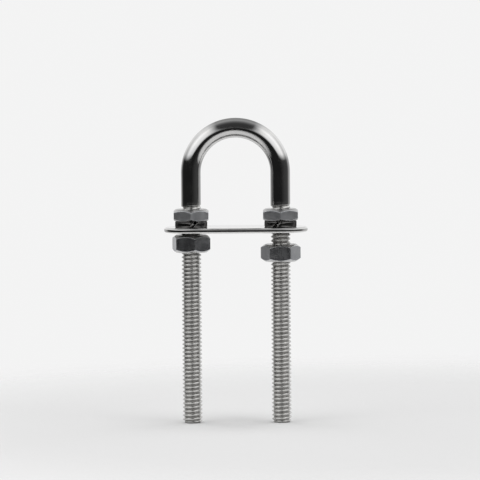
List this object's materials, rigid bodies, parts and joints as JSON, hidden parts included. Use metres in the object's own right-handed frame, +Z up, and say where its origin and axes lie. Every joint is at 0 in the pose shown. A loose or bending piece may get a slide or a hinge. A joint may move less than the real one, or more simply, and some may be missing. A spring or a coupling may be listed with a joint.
{
  "type": "bow eye",
  "caption": "Round stainless rod bent into a U-shaped eye, with threaded legs, a round-ended hull plate, split lock washers and hex nuts.",
  "frame": {"origin": "midway between the two legs, on the face of the plate that meets the hull", "axes": "+Z up out of the hull through the eye, the legs run along -Z, +X from the left leg to the right leg as seen from the front, which faces -Y"},
  "size_m": [0.046, 0.0174, 0.0978],
  "materials": {
    "polished_rod": "mirror-polished stainless steel",
    "polished_plate": "polished stainless sheet with eased edges",
    "washer_steel": "plain stainless spring steel",
    "nut_steel": "machined stainless steel"
  },
  "bodies": {
    "root": {"eye_rod": "polished_rod", "hull_plate": "polished_plate", "lock_washer_left": "washer_steel", "lock_washer_right": "washer_steel", "jam_nut_left": "nut_steel", "jam_nut_right": "nut_steel", "hex_nut_left": "nut_steel", "hex_nut_right": "nut_steel"}
  },
  "joints": []
}
